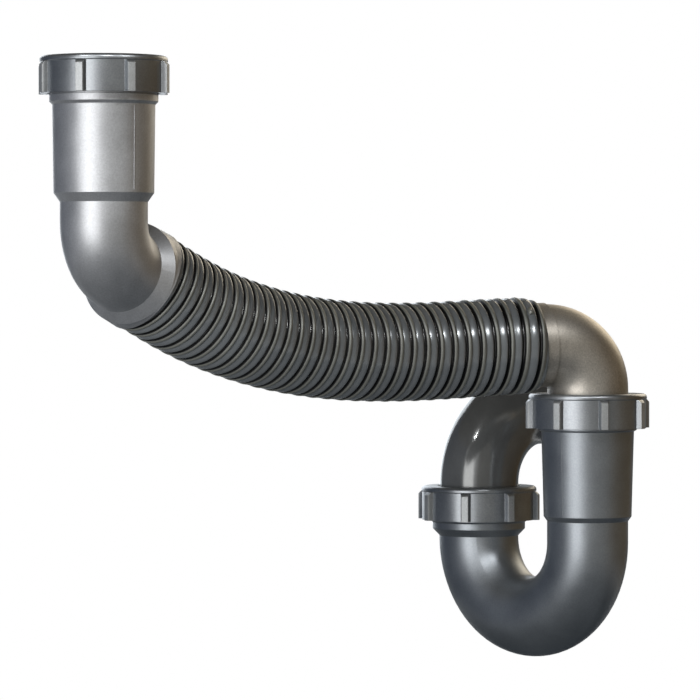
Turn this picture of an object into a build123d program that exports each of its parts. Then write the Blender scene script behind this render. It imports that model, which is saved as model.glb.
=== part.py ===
from build123d import *
import math
import os

# Flexible sink trap: inlet elbow, corrugated hose, trap elbow, U-bend and outlet bend.
# Millimetres, +Z up. The origin is on the inlet's axis, at the top of the inlet socket's straight bore.

# Waste tube, the same in every fitting
tube_diameter = 40.0
tube_wall = 2.0

# Clearances
slip_clearance = 0.3  # radial room of a tube in a socket, a seal, a washer or a hose
face_gap = 0.3  # between faces of pieces that move on each other

# Socket mouth of a compression joint
seat_depth = 2.6  # 45 degree cone that the seal sits in
rim_wall = 1.3
thread_depth = 1.1
thread_length = 10.2

# Seal and slip washer
seal_foot_height = 0.4  # foot of the seal's wedge above the foot of the seat
seal_flange_height = 2.9
seal_flange_margin = 0.9  # flange beyond the wedge
washer_thickness = 1.4
washer_margin = 0.5  # room between washer and nut wall

# Compression nut
nut_height = 17.0
nut_wall = 3.2
nut_flange_thickness = 2.5
nut_hole_clearance = 1.0
nut_ring_height = 2.8
nut_ring_proud = 0.4
nut_top_round = 1.8
nut_mouth_chamfer = 0.6
lug_count = 8
lug_height = 2.4
lug_root_width = 5.0
lug_crest_width = 2.6
lug_end_chamfer = 1.5
lug_sink = 1.0  # depth to which a lug's root is carried into the nut's wall
inlet_nut_turn = 27.3
trap_nut_turn = 12.5
outlet_nut_turn = 30.0

# Inlet elbow
inlet_socket_length = 52.1
inlet_socket_floor = 2.1  # from the floor of the bore to the end of the socket's straight outside
inlet_socket_top_wall = 3.1
inlet_socket_foot_wall = 2.6
inlet_socket_taper_length = 4.1
inlet_ring_proud = 0.6  # beyond the thread's core
inlet_ring_height = 3.1
inlet_ring_chamfer = 1.4
inlet_leg_length = 65.4  # from the joint's origin to the bend
inlet_bend_inner_radius = 2.0
inlet_bend_azimuth = 63.0  # heading of the tube as it enters the collar, from +X towards +Y
inlet_bend_slope = -14.0
inlet_collar_proud = 0.7  # beyond the hose
inlet_collar_cone_length = 6.5
inlet_collar_inner_radius = 1.5  # the collar turns on towards the hose's heading
inlet_collar_taper = 0.4  # how much narrower it is at the end of its cone
inlet_collar_sink = 0.5  # depth at which its root starts inside the tube

# Hose
hose_inlet_azimuth = 41.4
hose_inlet_slope = -25.9  # the hose leaves downwards
hose_wall = 3.6
hose_groove_depth = 1.4
hose_groove_half_width = 0.9
hose_end_chamfer = 2.0
hose_end_chamfer_length = 2.6
hose_inlet_pitch = 6.3
hose_trap_pitch = 8.9
hose_spigot_length = 14.0
hose_straight_end = 15.0  # straight stretch of the hose over each spigot
hose_inlet_handle = 82.0  # how far the curve keeps its heading, at each end
hose_trap_handle = 48.0
hose_bore_sections = 15

# Trap elbow
trap_x = 229.1
trap_y = 163.2
trap_bend_foot = -145.3
trap_bend_inner_radius = 2.0
trap_bend_azimuth = 18.6
trap_bend_slope = 2.3
trap_collar_length = 5.7
trap_collar_proud = 0.7
trap_neck_length = 12.4  # from the bend's foot to the joint's origin
trap_tail_room = 5.0  # below the tail, in its socket

# U-bend
trap_socket_length = 50.3
trap_socket_floor = 2.3
trap_socket_top_wall = 2.55
trap_socket_foot_wall = 1.4
trap_socket_taper_length = 2.4
collar_step = 0.8  # height of the step from thread collar to socket
u_gap = 37.0  # between the two legs
u_azimuth = 132.4  # from the trap leg to the outlet leg
trap_leg_length = 63.5  # from each joint's origin to the bend
outlet_leg_length = 15.6
outlet_ring_wall = 3.1
outlet_ring_length = 11.5
outlet_ring_taper_length = 3.6
outlet_socket_floor = 1.6  # from the floor of the bore to the end of the ring's taper

# Outlet bend
outlet_tail_room = 0.5  # below the tail, in its socket
outlet_neck_length = 11.3  # from the joint's origin to the bend
outlet_bend_inner_radius = 19.0
outlet_azimuth = 37.0
outlet_spigot_length = 38.0
outlet_spigot_chamfer = 1.0

# Radii that follow
tube_radius = tube_diameter / 2
tube_bore_radius = tube_radius - tube_wall
socket_radius = tube_radius + slip_clearance
seat_radius = socket_radius + seat_depth
thread_core_radius = seat_radius + rim_wall
thread_crest_radius = thread_core_radius + thread_depth
nut_bore_radius = thread_crest_radius + slip_clearance
nut_body_radius = nut_bore_radius + nut_wall
nut_ring_radius = nut_body_radius + nut_ring_proud
lug_radius = nut_body_radius + lug_height
hose_outer_radius = socket_radius + hose_wall
inlet_collar_radius = hose_outer_radius + inlet_collar_proud
inlet_bend_radius = tube_radius + inlet_bend_inner_radius
inlet_collar_bend_radius = inlet_collar_radius + inlet_collar_inner_radius
trap_bend_radius = tube_radius + trap_bend_inner_radius
outlet_bend_radius = tube_radius + outlet_bend_inner_radius

# Heights above a joint's origin, the top of its straight bore
seal_top = seat_depth + seal_flange_height
washer_foot = seal_top + face_gap
nut_flange_foot = washer_foot + washer_thickness + face_gap
nut_top = nut_flange_foot + nut_flange_thickness
thread_foot = seat_depth - thread_length

# Depths of the straight bores, and heights of the trap
inlet_bore_depth = inlet_socket_length - inlet_socket_floor
trap_bore_depth = trap_socket_length - trap_socket_floor
outlet_bore_depth = outlet_ring_length + outlet_ring_taper_length - outlet_socket_floor
trap_joint_z = trap_bend_foot - trap_neck_length
u_bend_top = trap_joint_z - trap_leg_length
outlet_joint_z = u_bend_top + outlet_leg_length
outlet_bend_foot = outlet_joint_z + outlet_neck_length
u_spacing = tube_diameter + u_gap

# Directions and places
DOWN = Vector(0, 0, -1)
CUT_MARGIN = 1.0  # how far a cutting solid runs past the face that it opens


def heading(azimuth, slope):
    """Unit vector from an azimuth and a slope, in degrees."""
    level = math.cos(math.radians(slope))
    return Vector(
        level * math.cos(math.radians(azimuth)),
        level * math.sin(math.radians(azimuth)),
        math.sin(math.radians(slope)),
    )


def bend_arc(start, entering, leaving, radius):
    """Arc from a point, that enters along one heading and leaves along another."""
    turn = math.radians(entering.get_angle(leaving))
    inward = (leaving - entering * entering.dot(leaving)).normalized()
    centre = start + inward * radius

    def at(angle):
        return centre - inward * radius * math.cos(angle) + entering * radius * math.sin(angle)

    return ThreePointArc(start, at(turn / 2), at(turn))


def bend_offset(entering, leaving, radius):
    """Vector from the start of such an arc to its end."""
    arc = bend_arc(Vector(0, 0, 0), entering, leaving, radius)
    return arc @ 1


def rod(path, radius):
    """Round solid along a path."""
    return sweep(Plane(origin=path @ 0, z_dir=path % 0) * Circle(radius), path=path)


def turned(points):
    """Solid turned about Z from (radius, height) points."""
    return revolve(Plane.XZ * make_face(Polyline(*points, close=True)), axis=Axis.Z)


def ring_across(path, distance, radius):
    """Circle across a path, at a distance along it."""
    middle = path.position_at(distance, position_mode=PositionMode.LENGTH)
    along = path.tangent_at(distance, position_mode=PositionMode.LENGTH)
    return Wire.make_circle(radius, Plane(origin=middle, x_dir=along.cross(DOWN), z_dir=along))


def lofted(path, sections):
    """Solid of ruled stretches between circles across a path, from (distance, radius) pairs."""
    return Solid.make_loft([ring_across(path, s, r) for s, r in sections], ruled=True)


inlet_heading = heading(inlet_bend_azimuth, inlet_bend_slope)
hose_heading = heading(hose_inlet_azimuth, hose_inlet_slope)
trap_heading = heading(trap_bend_azimuth, trap_bend_slope)
inlet_bend_start = Vector(0, 0, -inlet_leg_length)
inlet_bend_end = inlet_bend_start + bend_offset(DOWN, inlet_heading, inlet_bend_radius)
inlet_cone_end = inlet_bend_end + inlet_heading * inlet_collar_cone_length
hose_start = inlet_cone_end + bend_offset(inlet_heading, hose_heading, inlet_collar_bend_radius)
trap_bend_end = Vector(trap_x, trap_y, trap_bend_foot)
trap_bend_start = trap_bend_end - bend_offset(trap_heading, DOWN, trap_bend_radius)
trap_collar_face = trap_bend_start - trap_heading * trap_collar_length
hose_end = trap_collar_face - trap_heading * face_gap
outlet_leg = Vector(trap_x, trap_y, 0) + heading(u_azimuth, 0) * u_spacing
inlet_joint = Pos(0, 0, 0)
trap_joint = Pos(trap_x, trap_y, trap_joint_z)
outlet_joint = Pos(outlet_leg.X, outlet_leg.Y, outlet_joint_z)


# Pieces of a compression joint, about the joint's origin
def socket_bore(depth):
    """Space inside a socket: the seal's seat, the straight bore and its floor."""
    mouth = seat_depth + CUT_MARGIN
    return turned([
        (0, mouth),
        (socket_radius + mouth, mouth),
        (socket_radius, 0),
        (socket_radius, -depth),
        (0, -depth),
    ])


def seal():
    """Rubber ring with a wedge in the seat and a flange on the rim."""
    return turned([
        (socket_radius, seal_foot_height),
        (socket_radius + seal_foot_height, seal_foot_height),
        (seat_radius, seat_depth),
        (seat_radius + seal_flange_margin, seat_depth),
        (seat_radius + seal_flange_margin, seal_top),
        (socket_radius, seal_top),
    ])


def slip_washer():
    """Thin plastic ring between the seal and the nut."""
    outer = nut_bore_radius - washer_margin
    return turned([
        (socket_radius, washer_foot),
        (outer, washer_foot),
        (outer, washer_foot + washer_thickness),
        (socket_radius, washer_foot + washer_thickness),
    ])


def lugs():
    """Finger lugs round the nut, with a chamfer at their upper ends."""
    foot = nut_top - nut_height
    top = nut_top - nut_ring_height
    root = nut_body_radius - lug_sink
    outline = Polyline(
        (root, -lug_root_width / 2),
        (nut_body_radius, -lug_root_width / 2),
        (lug_radius + lug_sink, -lug_crest_width / 2),
        (lug_radius + lug_sink, lug_crest_width / 2),
        (nut_body_radius, lug_root_width / 2),
        (root, lug_root_width / 2),
        close=True,
    )
    lug = Pos(0, 0, foot) * extrude(make_face(outline), amount=top - foot)
    envelope = turned([
        (0, foot),
        (lug_radius, foot),
        (lug_radius, top - lug_end_chamfer),
        (lug_radius - lug_end_chamfer, top),
        (0, top),
    ])
    return PolarLocations(0, lug_count) * (lug & envelope)


def nut(turn):
    """Compression nut: a cup with a hole in its flange, a rounded ring and lugs."""
    foot = nut_top - nut_height
    ring_foot = nut_top - nut_ring_height
    hole = tube_radius + nut_hole_clearance
    cup = turned([
        (nut_bore_radius + nut_mouth_chamfer, foot),
        (nut_body_radius, foot),
        (nut_body_radius, ring_foot),
        (nut_ring_radius, ring_foot + nut_ring_proud),
        (nut_ring_radius, nut_top),
        (hole, nut_top),
        (hole, nut_flange_foot),
        (nut_bore_radius, nut_flange_foot),
        (nut_bore_radius, foot + nut_mouth_chamfer),
    ])
    rim = cup.edges().group_by(Axis.Z)[-1].sort_by(SortBy.RADIUS)[-1]
    cup = fillet(rim, nut_top_round)
    return Rot(0, 0, turn) * (cup + lugs())


# Fittings and hose
def inlet_elbow():
    """Inlet socket, tube, bend and hose collar in one moulding."""
    ring_foot = thread_foot - inlet_ring_height
    socket = turned([
        (0, seat_depth),
        (thread_core_radius, seat_depth),
        (thread_core_radius, thread_foot),
        (thread_core_radius + inlet_ring_proud, thread_foot),
        (thread_core_radius + inlet_ring_proud, ring_foot),
        (socket_radius + inlet_socket_top_wall, ring_foot - inlet_ring_chamfer),
        (socket_radius + inlet_socket_foot_wall, -inlet_socket_length),
        (tube_radius, -inlet_socket_length - inlet_socket_taper_length),
        (0, -inlet_socket_length - inlet_socket_taper_length),
    ])
    collar_foot = inlet_collar_radius - inlet_collar_taper
    cone = Plane(origin=inlet_bend_end, z_dir=inlet_heading) * turned([
        (0, 0),
        (tube_radius - inlet_collar_sink, 0),
        (collar_foot, inlet_collar_cone_length),
        (0, inlet_collar_cone_length),
    ])
    collar_arc = bend_arc(inlet_cone_end, inlet_heading, hose_heading, inlet_collar_bend_radius)
    collar = lofted(collar_arc, [
        (0, collar_foot),
        (collar_arc.length / 2, (collar_foot + inlet_collar_radius) / 2),
        (collar_arc.length, inlet_collar_radius),
    ])
    top = Vector(0, 0, -inlet_bore_depth)
    spigot_end = hose_start + hose_heading * hose_spigot_length
    path = (
        Line(top, inlet_bend_start)
        + bend_arc(inlet_bend_start, DOWN, inlet_heading, inlet_bend_radius)
        + Line(inlet_bend_end, inlet_cone_end)
        + collar_arc
        + Line(hose_start, spigot_end)
    )
    body = socket + rod(path, tube_radius) + cone + collar
    return body - socket_bore(inlet_bore_depth) - rod(path, tube_bore_radius)


def hose_path():
    """Centreline of the hose: straight over each spigot, one smooth sweep between."""
    curve_start = hose_start + hose_heading * hose_straight_end
    curve_end = hose_end - trap_heading * hose_straight_end
    sweep_curve = Bezier(
        curve_start,
        curve_start + hose_heading * hose_inlet_handle,
        curve_end - trap_heading * hose_trap_handle,
        curve_end,
    )
    return Wire([
        Line(hose_start, curve_start).edge(),
        sweep_curve.edge(),
        Line(curve_end, hose_end).edge(),
    ])


def hose():
    """Corrugated hose: grooves whose pitch grows towards the trap, and a plain bore."""
    path = hose_path()
    turns = round(2 * path.length / (hose_inlet_pitch + hose_trap_pitch))
    stretch = path.length / (turns * (hose_inlet_pitch + hose_trap_pitch) / 2)
    sections = [(0.0, hose_outer_radius)]
    for turn in range(1, turns):
        growth = (hose_trap_pitch - hose_inlet_pitch) * turn / (2 * turns)
        groove = stretch * turn * (hose_inlet_pitch + growth)
        sections += [
            (groove - hose_groove_half_width, hose_outer_radius),
            (groove, hose_outer_radius - hose_groove_depth),
            (groove + hose_groove_half_width, hose_outer_radius),
        ]
    sections += [
        (path.length - hose_end_chamfer_length, hose_outer_radius),
        (path.length, hose_outer_radius - hose_end_chamfer),
    ]
    skin = lofted(path, sections)
    inner_step = (path.length - 2 * hose_straight_end) / (hose_bore_sections - 1)
    stations = [0.0]
    stations += [hose_straight_end + inner_step * i for i in range(hose_bore_sections)]
    stations += [path.length]
    return skin - lofted(path, [(s, socket_radius) for s in stations])


def trap_elbow():
    """Tight elbow with a hose spigot, a narrow collar and a long tail."""
    tail_end = Vector(trap_x, trap_y, trap_joint_z - trap_bore_depth + trap_tail_room)
    spigot_end = hose_end - trap_heading * hose_spigot_length
    path = (
        Line(spigot_end, trap_bend_start)
        + bend_arc(trap_bend_start, trap_heading, DOWN, trap_bend_radius)
        + Line(trap_bend_end, tail_end)
    )
    collar = Plane(origin=trap_collar_face, z_dir=trap_heading) * extrude(
        Circle(tube_radius + trap_collar_proud), amount=trap_collar_length
    )
    return rod(path, tube_radius) + collar - rod(path, tube_bore_radius)


def u_bend():
    """U-bend with a deep socket on the trap leg and a short one on the outlet leg."""
    deep_socket = trap_joint * turned([
        (0, seat_depth),
        (thread_core_radius, seat_depth),
        (thread_core_radius, thread_foot),
        (socket_radius + trap_socket_top_wall, thread_foot - collar_step),
        (socket_radius + trap_socket_foot_wall, -trap_socket_length),
        (tube_radius, -trap_socket_length - trap_socket_taper_length),
        (0, -trap_socket_length - trap_socket_taper_length),
    ])
    short_socket = outlet_joint * turned([
        (0, seat_depth),
        (thread_core_radius, seat_depth),
        (thread_core_radius, thread_foot),
        (socket_radius + outlet_ring_wall, thread_foot - collar_step),
        (socket_radius + outlet_ring_wall, -outlet_ring_length),
        (tube_radius, -outlet_ring_length - outlet_ring_taper_length),
        (0, -outlet_ring_length - outlet_ring_taper_length),
    ])
    trap_floor = Vector(trap_x, trap_y, trap_joint_z - trap_bore_depth)
    trap_foot = Vector(trap_x, trap_y, u_bend_top)
    outlet_foot = Vector(outlet_leg.X, outlet_leg.Y, u_bend_top)
    outlet_floor = Vector(outlet_leg.X, outlet_leg.Y, outlet_joint_z - outlet_bore_depth)
    lowest = (trap_foot + outlet_foot) * 0.5 + DOWN * (u_spacing / 2)
    path = (
        Line(trap_floor, trap_foot)
        + ThreePointArc(trap_foot, lowest, outlet_foot)
        + Line(outlet_foot, outlet_floor)
    )
    body = rod(path, tube_radius) + deep_socket + short_socket
    body -= rod(path, tube_bore_radius)
    return body - trap_joint * socket_bore(trap_bore_depth) - outlet_joint * socket_bore(outlet_bore_depth)


def outlet_bend():
    """Swept bend with a tail in the outlet leg and a plain spigot."""
    leaving = heading(outlet_azimuth, 0)
    tail_z = outlet_joint_z - outlet_bore_depth + outlet_tail_room
    tail_end = Vector(outlet_leg.X, outlet_leg.Y, tail_z)
    bend_start = Vector(outlet_leg.X, outlet_leg.Y, outlet_bend_foot)
    bend_end = bend_start + bend_offset(-DOWN, leaving, outlet_bend_radius)
    spigot_end = bend_end + leaving * outlet_spigot_length
    path = (
        Line(tail_end, bend_start)
        + bend_arc(bend_start, -DOWN, leaving, outlet_bend_radius)
        + Line(bend_end, spigot_end)
    )
    outside = rod(path, tube_radius)
    rim = outside.edges().filter_by(GeomType.CIRCLE).sort_by_distance(spigot_end)[0]
    return chamfer(rim, outlet_spigot_chamfer) - rod(path, tube_bore_radius)


# The trap's seal rides clear of its seat, because the U-bend swivels under it
trap_stack = trap_joint * Pos(0, 0, face_gap)

pieces = {
    "inlet_elbow": inlet_elbow(),
    "inlet_seal": inlet_joint * seal(),
    "inlet_slip_washer": inlet_joint * slip_washer(),
    "inlet_nut": inlet_joint * nut(inlet_nut_turn),
    "flexible_hose": hose(),
    "trap_elbow": trap_elbow(),
    "trap_seal": trap_stack * seal(),
    "trap_slip_washer": trap_stack * slip_washer(),
    "trap_nut": trap_stack * nut(trap_nut_turn),
    "u_bend": u_bend(),
    "outlet_seal": outlet_joint * seal(),
    "outlet_slip_washer": outlet_joint * slip_washer(),
    "outlet_nut": outlet_joint * nut(outlet_nut_turn),
    "outlet_bend": outlet_bend(),
}

os.makedirs("parts", exist_ok=True)
for name, shape in pieces.items():
    export_step(shape, f"parts/{name}.step")
print(f"hose centreline {hose_path().length:.1f} mm")
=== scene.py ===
# Looks of the flexible sink trap: helical hose, threads, moulded plastics and a soft studio

import math
from functools import partial

import bmesh
import bpy
from mathutils import Matrix, Vector, geometry


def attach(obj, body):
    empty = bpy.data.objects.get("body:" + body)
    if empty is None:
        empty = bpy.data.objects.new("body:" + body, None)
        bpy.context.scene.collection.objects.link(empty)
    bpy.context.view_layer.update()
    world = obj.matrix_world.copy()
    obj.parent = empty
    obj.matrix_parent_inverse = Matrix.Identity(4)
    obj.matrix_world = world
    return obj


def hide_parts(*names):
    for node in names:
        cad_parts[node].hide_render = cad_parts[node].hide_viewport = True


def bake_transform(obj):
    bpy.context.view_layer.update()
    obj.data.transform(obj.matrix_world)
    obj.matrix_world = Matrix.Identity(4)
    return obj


bl_info = {
    "name": "Flexible sink trap",
    "version": (1, 0, 0),
    "blender": (4, 5, 0),
    "location": "View3D > Sidebar > Sink trap",
    "description": "Dresses the sink trap's frame with its hose, threads, plastics and a studio",
    "category": "Object",
}

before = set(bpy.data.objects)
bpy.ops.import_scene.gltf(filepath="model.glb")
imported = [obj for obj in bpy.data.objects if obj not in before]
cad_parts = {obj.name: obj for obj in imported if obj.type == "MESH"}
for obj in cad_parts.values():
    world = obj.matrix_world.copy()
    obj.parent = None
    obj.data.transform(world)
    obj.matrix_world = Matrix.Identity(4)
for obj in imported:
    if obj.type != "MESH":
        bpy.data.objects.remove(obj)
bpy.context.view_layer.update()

MM = 0.001
UP = Vector((0, 0, 1))

# Ends of the hose in the frame, in millimetres, with its headings there as azimuth and slope
HOSE_START = Vector((16.48, 28.40, -92.00))
HOSE_LEAVES = (41.4, -25.9)
HOSE_END = Vector((201.73, 153.99, -123.56))
HOSE_ARRIVES = (18.6, 2.3)

# Socket mouths of the compression joints in the frame, in millimetres
JOINTS = {
    "inlet": Vector((0, 0, 0)),
    "trap": Vector((229.1, 163.2, -157.7)),
    "outlet": Vector((177.179, 220.061, -205.6)),
}


def heading(azimuth, slope):
    """Unit vector from an azimuth and a slope, in degrees."""
    a, s = math.radians(azimuth), math.radians(slope)
    return Vector((math.cos(s) * math.cos(a), math.cos(s) * math.sin(a), math.sin(s)))


def linear(code):
    """Linear colour with alpha from an sRGB hex code."""
    parts = [int(code[i:i + 2], 16) / 255 for i in (1, 3, 5)]
    return [c / 12.92 if c <= 0.04045 else ((c + 0.055) / 1.055) ** 2.4 for c in parts] + [1.0]


def frame_node(name):
    """Node of the frame by its name. Stops the step that needs it where the frame lacks it."""
    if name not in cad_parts:
        raise RuntimeError(f"The frame has no node named {name}")
    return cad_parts[name]


# Mesh helpers
def finished(name, bm, body, material, smooth=True):
    """Object from a bmesh in millimetres, with its plastic as its one material. A body carries it
    where one is given.
    """
    bmesh.ops.scale(bm, vec=(MM, MM, MM), verts=bm.verts)
    bmesh.ops.recalc_face_normals(bm, faces=bm.faces)
    mesh = bpy.data.meshes.new(name)
    bm.to_mesh(mesh)
    bm.free()
    mesh.materials.append(material)
    for polygon in mesh.polygons:
        polygon.use_smooth = smooth
    made = bpy.data.objects.new(name, mesh)
    bpy.context.scene.collection.objects.link(made)
    if body:
        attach(made, body)
    return made


def add_line(bm, points, close=False):
    """Vertices in a row, joined by edges. Returns the vertices and the edges."""
    verts = [bm.verts.new(p) for p in points]
    pairs = list(zip(verts, verts[1:])) + ([(verts[-1], verts[0])] if close else [])
    return verts, [bm.edges.new(pair) for pair in pairs]


def boundary_edges(bm):
    """Edges with a face on one side only."""
    return [e for e in bm.edges if len(e.link_faces) == 1]


def only_verts(elements):
    """The vertices among what a mesh operator returns."""
    return [e for e in elements if isinstance(e, bmesh.types.BMVert)]


def edges_between(elements, verts):
    """The edges among elements that have both ends in verts."""
    ends = set(verts)
    return [e for e in elements if isinstance(e, bmesh.types.BMEdge) and ends.issuperset(e.verts)]


# Materials
def colour_setting(name, code, description):
    """Colour setting whose default comes from an sRGB hex code."""
    return bpy.props.FloatVectorProperty(
        name=name, description=description, default=linear(code), size=4, subtype="COLOR",
        min=0, max=1)


class FinishSettings(bpy.types.PropertyGroup):
    """Colours of the plastics and the rubber."""

    inlet: colour_setting("Inlet elbow", "#bdbfc2", "Silver-grey moulding of the inlet elbow")
    # The trap elbow, U-bend and outlet bend are the inlet elbow's resin: how their colours differ
    # from the inlet's is painted light and shade
    trap: colour_setting("Trap elbow", "#b9b4ab", "Warm grey moulding of the trap elbow")
    u_bend: colour_setting("U-bend", "#92979c", "Blue-grey moulding of the U-bend")
    outlet: colour_setting("Outlet bend", "#828484", "Dark grey moulding of the outlet bend")
    nut: colour_setting("Nuts", "#92969a", "Blue-grey mouldings of the nuts")
    hose_web: colour_setting("Hose web", "#a3a9ad", "Blue-grey web between the hose's ribs")
    hose_rib: colour_setting("Hose rib", "#94968f", "Olive-grey helical rib of the hose")
    # Near-black painted shade in the recess beside the hose's rib
    groove: colour_setting("Hose groove", "#101112", "Dirt in the groove beside the rib")
    # Painted highlight on the crests of the nuts' lugs, where the light catches them
    lug_highlight: colour_setting("Worn lugs", "#b2b5b6", "Crests of the nuts' lugs, rubbed pale")
    rubber: colour_setting("Seals", "#1b1b1c", "Black rubber of the seals")
    washer: colour_setting("Washers", "#cfcdc4", "Natural plastic of the slip washers")


def add_node(tree, kind, inputs=None, **settings):
    """Adds a node, sets its properties and fills its inputs with values or links."""
    made = tree.nodes.new(kind)
    for name, value in settings.items():
        setattr(made, name, value)
    for key, value in (inputs or {}).items():
        if isinstance(value, bpy.types.NodeSocket):
            tree.links.new(value, made.inputs[key])
        else:
            made.inputs[key].default_value = value
    return made


def tint(name):
    """Colour of the finish with this name."""
    return list(getattr(bpy.context.scene.sink_trap_finishes, name))


# Sizes of what the plastics show, in millimetres
CLOUD_SIZE = 25.0
GRAIN_SIZE = 0.8
GRAIN_DEPTH = 0.05
EDGE_RADIUS = 0.25
HOSE_EDGE_RADIUS = 0.1
LUG_CREST_RADIUS = 31.2
LUG_HIGHLIGHT_AND_WEAR_DEPTH = 1.2

# How far clouds and speckle change the colour, and clouds and wear the roughness
CLOUD_SHADES = (0.88, 1.10)
SPECKLE = 0.35
CLOUD_ROUGHNESS = (-0.03, 0.04)
DULLER_BY = 0.22

# The part of a noise's range that its values fill
NOISE_RANGE = {"From Min": 0.3, "From Max": 0.7}


def moulded_plastic(name, colour, roughness, metallic, grain, edge=EDGE_RADIUS, marks=None):
    """Moulded plastic: cloudy colour, fine grain, uneven gloss and soft edges.

    marks adds a second colour: it takes the tree, the place and the colour, and returns the
    mixed colour and the share of the surface that is duller.
    """
    found = bpy.data.materials.get(name)
    if found:
        return found
    material = bpy.data.materials.new(name)
    material.use_nodes = True
    tree = material.node_tree
    shader = tree.nodes["Principled BSDF"]
    place = add_node(tree, "ShaderNodeTexCoord").outputs["Object"]
    # Clouds, as pigment mixes unevenly in a moulding
    clouds = add_node(tree, "ShaderNodeTexNoise", {
        "Vector": place, "Scale": 1 / (CLOUD_SIZE * MM), "Detail": 4.0, "Roughness": 0.6})
    # Grain of the moulding tool, coarser than the real one so that it shows
    fine = add_node(tree, "ShaderNodeTexNoise", {
        "Vector": place, "Scale": 1 / (GRAIN_SIZE * MM), "Detail": 3.0, "Roughness": 0.7})
    shade = add_node(tree, "ShaderNodeMapRange", {
        "Value": clouds.outputs["Fac"], **NOISE_RANGE,
        "To Min": CLOUD_SHADES[0], "To Max": CLOUD_SHADES[1]})
    # Speckle of the grained surface, stronger where the grain is coarser
    speckle = add_node(tree, "ShaderNodeMapRange", {
        "Value": fine.outputs["Fac"], **NOISE_RANGE,
        "To Min": 1 - SPECKLE * grain, "To Max": 1 + SPECKLE * grain})
    mottled = add_node(tree, "ShaderNodeMath", {
        0: shade.outputs["Result"], 1: speckle.outputs["Result"]}, operation="MULTIPLY")
    base, duller = marks(tree, place, colour) if marks else (colour[:3], None)
    tinted = add_node(tree, "ShaderNodeVectorMath", {
        0: base, 1: mottled.outputs[0]}, operation="MULTIPLY")
    tree.links.new(tinted.outputs["Vector"], shader.inputs["Base Color"])
    gloss = add_node(tree, "ShaderNodeMapRange", {
        "Value": clouds.outputs["Fac"], **NOISE_RANGE,
        "To Min": roughness + CLOUD_ROUGHNESS[0],
        "To Max": roughness + CLOUD_ROUGHNESS[1]}).outputs["Result"]
    if duller:
        gloss = add_node(tree, "ShaderNodeMath", {
            0: duller, 1: DULLER_BY, 2: gloss}, operation="MULTIPLY_ADD").outputs[0]
    tree.links.new(gloss, shader.inputs["Roughness"])
    shader.inputs["Metallic"].default_value = metallic
    rounded = add_node(tree, "ShaderNodeBevel", {"Radius": edge * MM}, samples=6)
    bump = add_node(tree, "ShaderNodeBump", {
        "Strength": grain, "Distance": GRAIN_DEPTH * MM, "Height": fine.outputs["Fac"],
        "Normal": rounded.outputs["Normal"]})
    tree.links.new(bump.outputs["Normal"], shader.inputs["Normal"])
    return material


def mixed_colour(tree, share, first, second):
    """Socket with the mix of two colours."""
    return add_node(tree, "ShaderNodeMix", {
        0: share, 6: first, 7: second}, data_type="RGBA").outputs[2]


def rib_and_groove_shade(tree, place, colour):
    """Duller rib of another grey on the hose's web, and painted shade in the recess between them.
    """
    rib = add_node(tree, "ShaderNodeAttribute", attribute_name="rib").outputs["Fac"]
    groove = add_node(tree, "ShaderNodeAttribute", attribute_name="groove").outputs["Fac"]
    ribbed = mixed_colour(tree, rib, colour, tint("hose_rib"))
    return mixed_colour(tree, groove, ribbed, tint("groove")), rib


def lug_highlight_and_wear(joint, tree, place, colour):
    """Crests of a nut's lugs: a painted highlight makes them paler, and handling has made them
    duller.
    """
    from_joint = add_node(tree, "ShaderNodeVectorMath", {
        0: place, 1: (joint.x * MM, joint.y * MM, 0)}, operation="SUBTRACT")
    level = add_node(tree, "ShaderNodeVectorMath", {
        0: from_joint.outputs["Vector"], 1: (1, 1, 0)}, operation="MULTIPLY")
    reach = add_node(tree, "ShaderNodeVectorMath", {
        0: level.outputs["Vector"]}, operation="LENGTH")
    # Share of the crest: it takes the painted highlight, and handling makes it duller
    painted_highlight_and_wear = add_node(tree, "ShaderNodeMapRange", {
        "Value": reach.outputs["Value"], "From Min": (LUG_CREST_RADIUS - LUG_HIGHLIGHT_AND_WEAR_DEPTH) * MM,
        "From Max": LUG_CREST_RADIUS * MM}).outputs["Result"]
    return mixed_colour(tree, painted_highlight_and_wear, colour, tint("lug_highlight")), painted_highlight_and_wear


def inlet_material():
    # Pigmented polypropylene, satin moulded: a broad silvery sheen with dark edges
    return moulded_plastic("satin_polypropylene_silver", tint("inlet"), 0.45, 0.70, 0.35)


def trap_material():
    # The same resin, moulded in a grained tool, with a speckled sheen; its warmer colour is painted
    # light
    return moulded_plastic("grained_polypropylene_warm", tint("trap"), 0.44, 0.70, 0.60)


def u_bend_material():
    # The same resin, moulded in a polished tool: semi-gloss, with a darker, bluish colour that is
    # painted shade
    return moulded_plastic("semigloss_polypropylene_blue", tint("u_bend"), 0.41, 0.75, 0.25)


def outlet_material():
    # Polished moulding with crisp highlights; its deep charcoal colour is painted shade, where it
    # sits in shadow behind the other pieces
    return moulded_plastic("gloss_polypropylene_charcoal", tint("outlet"), 0.16, 0.25, 0.10)


def nut_material(place):
    # Satin moulding: mid grey, with a painted highlight on the lugs' crests, which handling has
    # made dull
    return moulded_plastic(
        f"satin_polypropylene_{place}_nut", tint("nut"), 0.34, 0.70, 0.35,
        marks=partial(lug_highlight_and_wear, JOINTS[place]))


def hose_material():
    # Plasticised vinyl web with a harder rib: glossy turns, with dark lines of painted shade in the
    # recesses between them
    return moulded_plastic(
        "vinyl_hose", tint("hose_web"), 0.23, 0.18, 0.20, edge=HOSE_EDGE_RADIUS,
        marks=rib_and_groove_shade)


def rubber_material():
    # Nitrile rubber: black and matt
    return moulded_plastic("nitrile_rubber", tint("rubber"), 0.7, 0.0, 0.5)


def washer_material():
    # Natural polyethylene: milky and waxy
    return moulded_plastic("natural_polyethylene", tint("washer"), 0.45, 0.0, 0.2)


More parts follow.
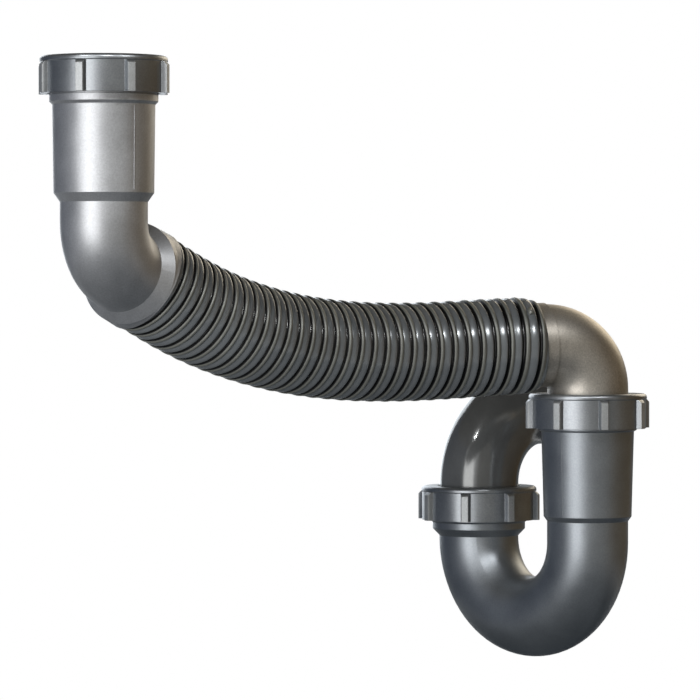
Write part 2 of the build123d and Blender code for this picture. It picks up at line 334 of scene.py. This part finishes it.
# What carries each joint's socket: body, slot and plastic
SOCKETS = {
    "inlet": ("inlet", "inlet_moulding", inlet_material),
    "trap": ("u_bend", "u_bend_moulding", u_bend_material),
    "outlet": ("u_bend", "u_bend_moulding", u_bend_material),
}


class SINKTRAP_OT_finishes(bpy.types.Operator):
    """Gives each moulded piece of the frame its plastic or rubber"""

    bl_idname = "sink_trap.finishes"
    bl_label = "Finishes"

    def execute(self, context):
        looks = {
            "inlet_elbow": inlet_material(), "trap_elbow": trap_material(),
            "u_bend": u_bend_material(), "outlet_bend": outlet_material(),
            "flexible_hose": hose_material(),
        }
        for place in JOINTS:
            looks[f"{place}_nut"] = nut_material(place)
            looks[f"{place}_seal"] = rubber_material()
            looks[f"{place}_slip_washer"] = washer_material()
        for name, look in looks.items():
            materials = frame_node(name).data.materials
            materials.clear()
            materials.append(look)
        return {"FINISHED"}


# Hose
class HoseSettings(bpy.types.PropertyGroup):
    """Sizes of the corrugated hose, in millimetres."""

    turns: bpy.props.FloatProperty(
        name="Turns", description="Turns of the helical rib from end to end", default=30.0)
    inlet_pitch: bpy.props.FloatProperty(
        name="Pitch at the inlet", description="Rib spacing at the inlet, mm", default=6.3)
    trap_pitch: bpy.props.FloatProperty(
        name="Pitch at the trap", description="Rib spacing at the trap, mm", default=8.9)
    phase: bpy.props.FloatProperty(
        name="Phase", description="Where the rib starts round the hose", default=0.0,
        subtype="ANGLE")
    bore: bpy.props.FloatProperty(
        name="Bore radius", description="Radius of the hose's inside, mm", default=20.3)
    end_taper: bpy.props.FloatProperty(
        name="End taper", description="How much the hose draws in at the trap, mm", default=1.8)
    segments: bpy.props.IntProperty(
        name="Segments", description="Steps round one turn", default=72)
    rib_end_radius: bpy.props.FloatProperty(
        name="Rib end radius", description="Radius of the rib's cut end, mm", default=1.15)
    rib_end_angle: bpy.props.FloatProperty(
        name="Rib end angle", description="How far above the level the rib ends",
        default=math.radians(46), subtype="ANGLE")
    rib_end_reach: bpy.props.FloatProperty(
        name="Rib end reach", description="Rib end's distance from the centreline, mm",
        default=23.6)


# One pitch of the hose's outside: share of the pitch, radius in mm
HOSE_PROFILE = (
    (0.000, 22.25), (0.065, 22.28), (0.085, 22.90), (0.105, 23.38), (0.145, 23.76),
    (0.195, 23.95), (0.250, 23.99), (0.305, 23.90), (0.350, 23.68), (0.380, 23.38),
    (0.400, 23.20), (0.425, 23.27), (0.500, 23.42), (0.600, 23.57), (0.700, 23.67),
    (0.790, 23.70), (0.855, 23.60), (0.890, 23.34), (0.915, 22.85), (0.935, 22.35),
    (1.000, 22.25),
)
RIB_SHARES = (0.08, 0.39)  # the rib's part of one pitch
GROOVE_SHADE_HALF_SHARE = 0.12  # half of the band of painted shade in the recess, about the end of one pitch

# Centreline: a straight length over each spigot, and the handles of the curve between them
HOSE_STRAIGHT = 15.0
HOSE_HANDLES = (82.0, 48.0)
CENTRELINE_STEPS = 400

# The hose is first made upright, with one turn of the rib in each unit of height
CUT_HEIGHT = 1.0
MERGE_DISTANCE = 0.0001
BORE_RINGS = 60

# Where the hose draws in over the trap elbow: length, and the wall that draws in with it
TAPER_LENGTH = 8.0
TAPER_WALL = 2.0

# Cut end of the hollow rib
RIB_END_DISTANCE = 7.0
RIB_END_LENGTH = 4.0
RIB_END_HOLE = 1.5
RIB_END_WALL_SHARE = 0.4
RIB_END_SIDES = 24


def hose_centreline():
    """Points of the hose's centreline with their distance from the inlet end."""
    leaves, arrives = heading(*HOSE_LEAVES), heading(*HOSE_ARRIVES)
    first = HOSE_START + leaves * HOSE_STRAIGHT
    last = HOSE_END - arrives * HOSE_STRAIGHT
    curve = geometry.interpolate_bezier(
        first, first + leaves * HOSE_HANDLES[0], last - arrives * HOSE_HANDLES[1], last,
        CENTRELINE_STEPS)
    points = [HOSE_START, *curve, HOSE_END]
    distance, table = 0.0, []
    for before, point in zip([points[0], *points], points):
        distance += (point - before).length
        table.append((distance, point))
    return table


def along(table, distance):
    """Point and heading at a distance along the centreline."""
    low, high = 0, len(table) - 1
    while high - low > 1:
        middle = (low + high) // 2
        if table[middle][0] <= distance:
            low = middle
        else:
            high = middle
    (d0, p0), (d1, p1) = table[low], table[high]
    before = table[max(low - 1, 0)][1]
    after = table[min(high + 1, len(table) - 1)][1]
    share = (distance - d0) / (d1 - d0)
    tangent = ((p1 - before).normalized().lerp((after - p0).normalized(), share)).normalized()
    return p0 + (p1 - p0) * share, tangent


def plastic_marks(bm):
    """Vertex layers that tell the hose's plastic where its rib is and where the recess gets painted
    shade.
    """
    rib = bm.verts.layers.float.new("rib")
    groove = bm.verts.layers.float.new("groove")
    return rib, groove


def wind_outside(bm, settings):
    """Outside of the upright hose, wound turn by turn and cut level at both ends."""
    rib, groove = plastic_marks(bm)
    verts, edges = add_line(bm, [(radius, 0, share) for share, radius in HOSE_PROFILE])
    # The second layer marks the recess between the turns, where shade is painted
    for vert, (share, _) in zip(verts, HOSE_PROFILE):
        vert[rib] = float(RIB_SHARES[0] < share < RIB_SHARES[1])
        vert[groove] = float(min(share, 1 - share) < GROOVE_SHADE_HALF_SHARE)
    bmesh.ops.rotate(bm, matrix=Matrix.Rotation(settings.phase, 3, "Z"), verts=bm.verts)
    bmesh.ops.spin(
        bm, geom=verts + edges, axis=UP, dvec=UP / settings.segments, angle=2 * math.pi,
        steps=settings.segments, use_merge=False)
    one_turn = bm.verts[:] + bm.edges[:] + bm.faces[:]
    for turn in range(1, math.ceil(settings.turns) + 2):
        copied = bmesh.ops.duplicate(bm, geom=one_turn)["geom"]
        bmesh.ops.translate(bm, vec=UP * turn, verts=only_verts(copied))
    bmesh.ops.remove_doubles(bm, verts=bm.verts, dist=MERGE_DISTANCE)
    for height, below in ((CUT_HEIGHT, True), (CUT_HEIGHT + settings.turns, False)):
        bmesh.ops.bisect_plane(
            bm, geom=bm.verts[:] + bm.edges[:] + bm.faces[:], dist=MERGE_DISTANCE,
            plane_co=UP * height, plane_no=UP, clear_inner=below, clear_outer=not below)


def line_with_bore(bm, settings):
    """Plain bore inside the upright hose, joined to its outside at both ends."""
    rims = {"low": [], "high": []}
    for edge in boundary_edges(bm):
        rims["low" if edge.verts[0].co.z < CUT_HEIGHT + 1 else "high"].append(edge)
    circle = bmesh.ops.create_circle(bm, segments=settings.segments, radius=settings.bore)["verts"]
    bmesh.ops.translate(bm, vec=UP * CUT_HEIGHT, verts=circle)
    first_ring = ring = edges_between(bm.edges, circle)
    for _ in range(BORE_RINGS):
        grown = bmesh.ops.extrude_edge_only(bm, edges=ring)["geom"]
        verts = only_verts(grown)
        ring = edges_between(grown, verts)
        bmesh.ops.translate(bm, vec=UP * settings.turns / BORE_RINGS, verts=verts)
    bmesh.ops.bridge_loops(bm, edges=rims["low"] + first_ring)
    bmesh.ops.bridge_loops(bm, edges=rims["high"] + ring)


def lay_on_centreline(bm, settings):
    """Bends the upright hose along its centreline, with its pitch growing towards the trap."""
    table = hose_centreline()
    length = table[-1][0]
    mean_pitch = (settings.inlet_pitch + settings.trap_pitch) / 2
    stretch = length / (settings.turns * mean_pitch)
    for vert in bm.verts:
        turn = vert.co.z - CUT_HEIGHT
        growth = (settings.trap_pitch - settings.inlet_pitch) * turn / (2 * settings.turns)
        distance = min(max(stretch * turn * (settings.inlet_pitch + growth), 0.0), length)
        middle, tangent = along(table, distance)
        side = tangent.cross(-UP).normalized()
        rise = side.cross(tangent)
        reach = Vector(vert.co[:2]).length
        near_end = min(max((distance - (length - TAPER_LENGTH)) / TAPER_LENGTH, 0.0), 1.0)
        wall_share = min((reach - settings.bore) / TAPER_WALL, 1.0)
        taper = 1 - settings.end_taper * near_end ** 2 * wall_share / reach
        vert.co = middle + (side * vert.co.x + rise * vert.co.y) * taper


class SINKTRAP_OT_hose(bpy.types.Operator):
    """Corrugated hose: a rib wound as a helix, with a web between its turns"""

    bl_idname = "sink_trap.hose"
    bl_label = "Flexible hose"

    def execute(self, context):
        frame_node("flexible_hose")  # stops here where the frame has no hose
        settings = context.scene.sink_trap_hose
        bm = bmesh.new()
        wind_outside(bm, settings)
        line_with_bore(bm, settings)
        lay_on_centreline(bm, settings)
        made = finished("helical_hose", bm, None, hose_material())
        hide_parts("flexible_hose")
        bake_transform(made)
        return {"FINISHED"}


class SINKTRAP_OT_rib_end(bpy.types.Operator):
    """Cut end of the hollow rib, which stands up from the hose near the trap elbow"""

    bl_idname = "sink_trap.rib_end"
    bl_label = "Rib end"

    def execute(self, context):
        settings = context.scene.sink_trap_hose
        radius = settings.rib_end_radius
        bm = bmesh.new()
        rib, groove = plastic_marks(bm)
        bmesh.ops.create_cone(
            bm, cap_ends=True, segments=RIB_END_SIDES, radius1=radius, radius2=radius,
            depth=RIB_END_LENGTH)
        cut = max(bm.faces, key=lambda face: face.calc_center_median().z)
        bmesh.ops.inset_individual(bm, faces=[cut], thickness=radius * RIB_END_WALL_SHARE)
        hole = only_verts(bmesh.ops.extrude_face_region(bm, geom=[cut])["geom"])
        bmesh.ops.delete(bm, geom=[cut], context="FACES_ONLY")
        bmesh.ops.translate(bm, vec=(0, 0, -RIB_END_HOLE), verts=hole)
        # The rib end's hole gets the same painted shade as the recess
        for vert in bm.verts:
            vert[rib] = 1.0
            vert[groove] = float(vert in hole)
        arrives = heading(*HOSE_ARRIVES)
        front = arrives.cross(UP).normalized()
        rise = front.cross(arrives)
        angle = settings.rib_end_angle
        outward = front * math.cos(angle) + rise * math.sin(angle)
        downward = front * math.sin(angle) - rise * math.cos(angle)
        place = HOSE_END - arrives * RIB_END_DISTANCE + outward * settings.rib_end_reach
        turn = Matrix((arrives, downward.cross(arrives), downward)).transposed()
        bmesh.ops.rotate(bm, verts=bm.verts, matrix=turn)
        bmesh.ops.translate(bm, verts=bm.verts, vec=place)
        finished("rib_end", bm, "trap_elbow", hose_material())
        return {"FINISHED"}


# Threads
class ThreadSettings(bpy.types.PropertyGroup):
    """Sizes of the compression joints' threads, in millimetres."""

    pitch: bpy.props.FloatProperty(name="Pitch", description="Rise of one turn, mm", default=3.2)
    core: bpy.props.FloatProperty(
        name="Core radius", description="Radius of the collar under the thread, mm", default=24.2)
    crest: bpy.props.FloatProperty(
        name="Crest radius", description="Radius of the outer thread's crest, mm", default=25.25)
    nut_wall: bpy.props.FloatProperty(
        name="Nut bore", description="Radius of the nut's bore, mm", default=25.6)
    nut_crest: bpy.props.FloatProperty(
        name="Nut crest", description="Radius of the inner thread's crest, mm", default=24.75)
    segments: bpy.props.IntProperty(
        name="Segments", description="Steps round one turn", default=96)


# Foot and top of the threads, from the joint's plane
SOCKET_THREAD = (-6.6, 1.9)
NUT_THREAD = (-5.4, 2.6)

# Half widths of a ridge and the nut thread's offset, as shares of the pitch
ROOT_HALF_SHARE = 0.30
CREST_HALF_SHARE = 0.11
NUT_THREAD_SHIFT = 0.125

# How far a ridge's root reaches into what carries it
THREAD_SINK = 0.3


def thread(joint, settings, root, crest, ends, shift):
    """Helical ridge round a joint's axis, with both of its ends closed."""
    bm = bmesh.new()
    root_half = ROOT_HALF_SHARE * settings.pitch
    crest_half = CREST_HALF_SHARE * settings.pitch
    foot, top = ends
    middle = foot + shift * settings.pitch
    section = [(root, 0, middle - root_half), (crest, 0, middle - crest_half),
               (crest, 0, middle + crest_half), (root, 0, middle + root_half)]
    verts, edges = add_line(bm, section, close=True)
    steps = int(settings.segments * (top - middle) / settings.pitch)
    bmesh.ops.spin(
        bm, geom=verts + edges, axis=UP, dvec=(0, 0, settings.pitch / settings.segments),
        angle=2 * math.pi * steps / settings.segments, steps=steps, use_merge=False)
    bmesh.ops.holes_fill(bm, edges=boundary_edges(bm), sides=0)
    bmesh.ops.translate(bm, vec=joint, verts=bm.verts)
    return bm


class SINKTRAP_OT_threads(bpy.types.Operator):
    """Threads of the three compression joints, on the sockets and in the nuts"""

    bl_idname = "sink_trap.threads"
    bl_label = "Threads"

    def execute(self, context):
        settings = context.scene.sink_trap_threads
        socket_root = settings.core - THREAD_SINK
        nut_root = settings.nut_wall + THREAD_SINK
        for name, joint in JOINTS.items():
            body, slot, material = SOCKETS[name]
            bm = thread(joint, settings, socket_root, settings.crest, SOCKET_THREAD, 0.0)
            finished(f"{name}_socket_thread", bm, body, material(), smooth=False)
            bm = thread(joint, settings, nut_root, settings.nut_crest, NUT_THREAD, NUT_THREAD_SHIFT)
            finished(f"{name}_nut_thread", bm, f"{name}_nut", nut_material(name),
                     smooth=False)
        return {"FINISHED"}


# Parting lines
class SeamSettings(bpy.types.PropertyGroup):
    """Sizes of the fine ridges that the mould halves leave, in millimetres."""

    width: bpy.props.FloatProperty(name="Width", description="Width of a ridge, mm", default=0.5)
    proud: bpy.props.FloatProperty(
        name="Height", description="How far a ridge stands out, mm", default=0.12)


SEAM_SINK = 0.4  # how far a ridge reaches into the socket

# Joint, azimuth in degrees, radius at the upper and at the lower end, height of both ends
SEAMS = {
    "inlet": (-50, (23.37, 22.93), (-13.0, -51.0)),
    "trap": (-128, (22.83, 21.72), (-9.5, -49.5)),
}


class SINKTRAP_OT_seams(bpy.types.Operator):
    """Parting lines down both sides of the sockets"""

    bl_idname = "sink_trap.seams"
    bl_label = "Parting lines"

    def execute(self, context):
        settings = context.scene.sink_trap_seams
        depth = settings.proud + SEAM_SINK
        for name, (azimuth, radii, heights) in SEAMS.items():
            bm = bmesh.new()
            for side in (0, 180):
                ridge = bmesh.ops.create_cube(bm, size=1.0)["verts"]
                for vert in ridge:
                    end = 0 if vert.co.z > 0 else 1
                    reach = radii[end] + settings.proud - depth * (0.5 - vert.co.x)
                    vert.co = (reach, vert.co.y * settings.width, heights[end])
                bmesh.ops.rotate(
                    bm, verts=ridge, matrix=Matrix.Rotation(math.radians(azimuth + side), 3, "Z"))
            bmesh.ops.translate(bm, vec=JOINTS[name], verts=bm.verts)
            body, slot, material = SOCKETS[name]
            finished(f"{name}_socket_seam", bm, body, material(), smooth=False)
        return {"FINISHED"}


# Studio
class StageSettings(bpy.types.PropertyGroup):
    """Camera, floor and lamps."""

    lens: bpy.props.FloatProperty(
        name="Lens", description="Focal length on a 36 mm sensor, mm", default=216.0)
    pitch: bpy.props.FloatProperty(
        name="Pitch", description="How far the camera looks down", default=math.radians(0.887),
        subtype="ANGLE")
    floor_height: bpy.props.FloatProperty(
        name="Floor", description="Height of the floor", default=-0.75, unit="LENGTH")
    ambient: bpy.props.FloatProperty(
        name="Ambient", description="Strength of the white surround on matt faces", default=0.09)
    key_power: bpy.props.FloatProperty(
        name="Key lamp", description="Power of the large soft lamp, W", default=6.5)
    fill_power: bpy.props.FloatProperty(
        name="Fill lamps", description="Power of each lamp behind the object, W", default=5.0)
    glint_power: bpy.props.FloatProperty(
        name="Glint lamps", description="Power of each small lamp, W", default=3.0)


# Camera: place and sensor in millimetres, nearest and farthest view in metres
CAMERA_PLACE = Vector((111.8, -1909.0, -93.9))
SENSOR_WIDTH = 36
CLIP = (0.05, 50)

# Studio, in metres, about the middle of the object. Its azimuths are in degrees, from the
# camera's side and positive to the camera's right.
CENTRE = Vector((0.13, 0.10, -0.12))
CAMERA_SIDE = -90
FLOOR_RADIUS = 1.5
FLOOR_FADE = (0.3, 1.4)
FLOOR_GLOW = 0.72
FLAG_DISTANCE = 2.3
FLAG_HEIGHTS = (-1.4, 1.6)
LEVEL_FLAG_RADIUS = 1.3
LOW_FLAG_ABOVE_FLOOR = 0.02
HIGH_FLAG_HEIGHT = 0.60
ROUND_SIDES = 96
FLAG_SIDES = 24

# Upright flags: azimuth, half width in degrees, colour
FLAGS = {
    "flag_left": (-96, 45, "#22344d"),
    "flag_right": (26, 34, "#8b8881"),
    "flag_far_right": (99, 40, "#6c593a"),
    "flag_back": (179, 40, "#6f7376"),
}
LOW_FLAG_COLOUR = "#2c353d"
HIGH_FLAG_COLOUR = "#3c3832"

# Soft lamps: azimuth, elevation in degrees, size, setting of the power, colour
LAMPS = {
    "key": (-34, 0, 0.75, "key_power", "#fffefd"),
    "fill_right": (150, 26, 0.8, "fill_power", "#ffefd4"),
    "fill_back": (-165, 10, 0.8, "fill_power", "#f3f9ff"),
}
LAMP_DISTANCE = 1.3

# Glint lamps, seen only as small highlights: azimuth
GLINTS = {"glint_left": -36, "glint_front": -2, "glint_right": 34}
GLINT_ELEVATION = 40
GLINT_DISTANCE = 1.0
GLINT_SIZE = 0.05


def set_camera(scene, settings):
    """Camera at the photograph's angle."""
    data = bpy.data.cameras.new("camera")
    data.lens, data.sensor_width = settings.lens, SENSOR_WIDTH
    data.clip_start, data.clip_end = CLIP
    camera = bpy.data.objects.new("camera", data)
    camera.location = CAMERA_PLACE * MM
    camera.rotation_euler = (math.pi / 2 - settings.pitch, 0, 0)
    scene.collection.objects.link(camera)
    scene.camera = camera


def set_world(scene, ambient):
    """Surround: dim for what it lights, white for what looks straight at it or mirrors it."""
    world = bpy.data.worlds.new("studio")
    scene.world = world
    world.use_nodes = True
    tree = world.node_tree
    seen = add_node(tree, "ShaderNodeLightPath")
    mirrored = add_node(tree, "ShaderNodeMath", {
        0: seen.outputs["Is Camera Ray"], 1: seen.outputs["Is Glossy Ray"]}, operation="MAXIMUM")
    shown = add_node(tree, "ShaderNodeMath", {
        0: mirrored.outputs[0], 1: seen.outputs["Is Transmission Ray"]}, operation="MAXIMUM")
    strength = add_node(tree, "ShaderNodeMapRange", {
        "Value": shown.outputs[0], "To Min": ambient, "To Max": 1.0})
    background = tree.nodes["Background"]
    background.inputs["Color"].default_value = linear("#ffffff")
    tree.links.new(strength.outputs["Result"], background.inputs["Strength"])


def disc(radius, height):
    """Level disc under or over the object, with its radius and height in metres."""
    bm = bmesh.new()
    bmesh.ops.create_circle(bm, cap_ends=True, segments=ROUND_SIDES, radius=radius / MM)
    bmesh.ops.translate(bm, vec=Vector((CENTRE.x, CENTRE.y, height)) / MM, verts=bm.verts)
    return bm


def floor_material(height):
    """Matt white card whose rim fades into the surround."""
    material = bpy.data.materials.new("matt_card")
    material.use_nodes = True
    tree = material.node_tree
    shader = tree.nodes["Principled BSDF"]
    shader.inputs["Base Color"].default_value = linear("#efefef")
    shader.inputs["Roughness"].default_value = 0.9
    place = add_node(tree, "ShaderNodeTexCoord").outputs["Object"]
    far = add_node(tree, "ShaderNodeVectorMath", {
        0: place, 1: (CENTRE.x, CENTRE.y, height)}, operation="DISTANCE")
    share = add_node(tree, "ShaderNodeMapRange", {
        "Value": far.outputs["Value"], "From Min": FLOOR_FADE[0], "From Max": FLOOR_FADE[1],
        "To Min": FLOOR_GLOW}, interpolation_type="SMOOTHSTEP")
    white = add_node(tree, "ShaderNodeEmission", {"Color": linear("#ffffff"), "Strength": 1.0})
    mixed = add_node(tree, "ShaderNodeMixShader", {
        0: share.outputs["Result"], 1: shader.outputs[0], 2: white.outputs[0]})
    tree.links.new(mixed.outputs[0], tree.nodes["Material Output"].inputs["Surface"])
    return material


def felt_panel(name, bm, code):
    """Dim panel that only reflections see."""
    material = bpy.data.materials.new(name + "_felt")
    material.use_nodes = True
    tree = material.node_tree
    glow = add_node(tree, "ShaderNodeEmission", {"Color": linear(code), "Strength": 1.0})
    tree.links.new(glow.outputs[0], tree.nodes["Material Output"].inputs["Surface"])
    made = finished(name, bm, None, material)
    made.visible_camera = False
    made.visible_shadow = False
    made.visible_diffuse = False


def upright_flag(name, azimuth, half_width, code):
    """Upright curved panel, centred on an azimuth about the object."""
    bm = bmesh.new()
    start = heading(CAMERA_SIDE + azimuth - half_width, 0) * FLAG_DISTANCE
    verts, edges = add_line(bm, [(start + UP * height) / MM for height in FLAG_HEIGHTS])
    bmesh.ops.spin(
        bm, geom=verts + edges, axis=UP, angle=math.radians(2 * half_width), steps=FLAG_SIDES,
        use_merge=False)
    bmesh.ops.translate(bm, vec=Vector((CENTRE.x, CENTRE.y, 0)) / MM, verts=bm.verts)
    felt_panel(name, bm, code)


def lamp(name, azimuth, elevation, distance, size, power, code):
    """Square lamp that looks at the object."""
    data = bpy.data.lights.new(name, "AREA")
    data.shape, data.size, data.energy = "SQUARE", size, power
    data.color = linear(code)[:3]
    made = bpy.data.objects.new(name, data)
    back = heading(CAMERA_SIDE + azimuth, elevation)
    made.location = CENTRE + back * distance
    made.rotation_mode = "QUATERNION"
    made.rotation_quaternion = (-back).to_track_quat("-Z", "Y")
    made.visible_camera = False
    bpy.context.scene.collection.objects.link(made)
    return made


class SINKTRAP_OT_stage(bpy.types.Operator):
    """Camera at the photograph's angle, pale floor, white surround and soft lamps"""

    bl_idname = "sink_trap.stage"
    bl_label = "Studio"

    def execute(self, context):
        settings = context.scene.sink_trap_stage
        context.scene.view_settings.view_transform = "Standard"
        set_camera(context.scene, settings)
        set_world(context.scene, settings.ambient)
        height = settings.floor_height
        floor = finished(
            "floor", disc(FLOOR_RADIUS, height), None, floor_material(height), smooth=False)
        floor.visible_diffuse = False  # it casts no light up at the object
        for name, (azimuth, half_width, code) in FLAGS.items():
            upright_flag(name, azimuth, half_width, code)
        low = disc(LEVEL_FLAG_RADIUS, height + LOW_FLAG_ABOVE_FLOOR)
        felt_panel("flag_low", low, LOW_FLAG_COLOUR)
        felt_panel("flag_high", disc(LEVEL_FLAG_RADIUS, HIGH_FLAG_HEIGHT), HIGH_FLAG_COLOUR)
        for name, (azimuth, elevation, size, power, code) in LAMPS.items():
            lamp(name, azimuth, elevation, LAMP_DISTANCE, size, getattr(settings, power), code)
        for name, azimuth in GLINTS.items():
            glint = lamp(name, azimuth, GLINT_ELEVATION, GLINT_DISTANCE, GLINT_SIZE,
                         settings.glint_power, "#ffffff")
            glint.visible_diffuse = False
        return {"FINISHED"}


class SINKTRAP_PT_panel(bpy.types.Panel):
    """Lists the steps that dress the sink trap"""

    bl_idname = "SINKTRAP_PT_panel"
    bl_label = "Sink trap"
    bl_space_type = "VIEW_3D"
    bl_region_type = "UI"
    bl_category = "Sink trap"

    def draw(self, context):
        for operator in OPERATORS:
            self.layout.operator(operator.bl_idname)
        for group in SETTINGS:
            box = self.layout.box()
            holder = getattr(context.scene, group)
            for name in holder.bl_rna.properties.keys():
                if name not in ("rna_type", "name"):
                    box.prop(holder, name)


OPERATORS = (
    SINKTRAP_OT_stage, SINKTRAP_OT_finishes, SINKTRAP_OT_hose, SINKTRAP_OT_rib_end,
    SINKTRAP_OT_threads, SINKTRAP_OT_seams,
)
SETTINGS = {
    "sink_trap_hose": HoseSettings,
    "sink_trap_threads": ThreadSettings,
    "sink_trap_seams": SeamSettings,
    "sink_trap_finishes": FinishSettings,
    "sink_trap_stage": StageSettings,
}


def register():
    for made in (*SETTINGS.values(), *OPERATORS, SINKTRAP_PT_panel):
        bpy.utils.register_class(made)
    for name, group in SETTINGS.items():
        setattr(bpy.types.Scene, name, bpy.props.PointerProperty(type=group))


def unregister():
    for name in SETTINGS:
        delattr(bpy.types.Scene, name)
    for made in (SINKTRAP_PT_panel, *reversed(OPERATORS), *SETTINGS.values()):
        bpy.utils.unregister_class(made)


def main():
    register()
    bpy.ops.sink_trap.stage()
    bpy.ops.sink_trap.finishes()
    bpy.ops.sink_trap.hose()
    bpy.ops.sink_trap.rib_end()
    bpy.ops.sink_trap.threads()
    bpy.ops.sink_trap.seams()


if __name__ == "__main__":
    main()
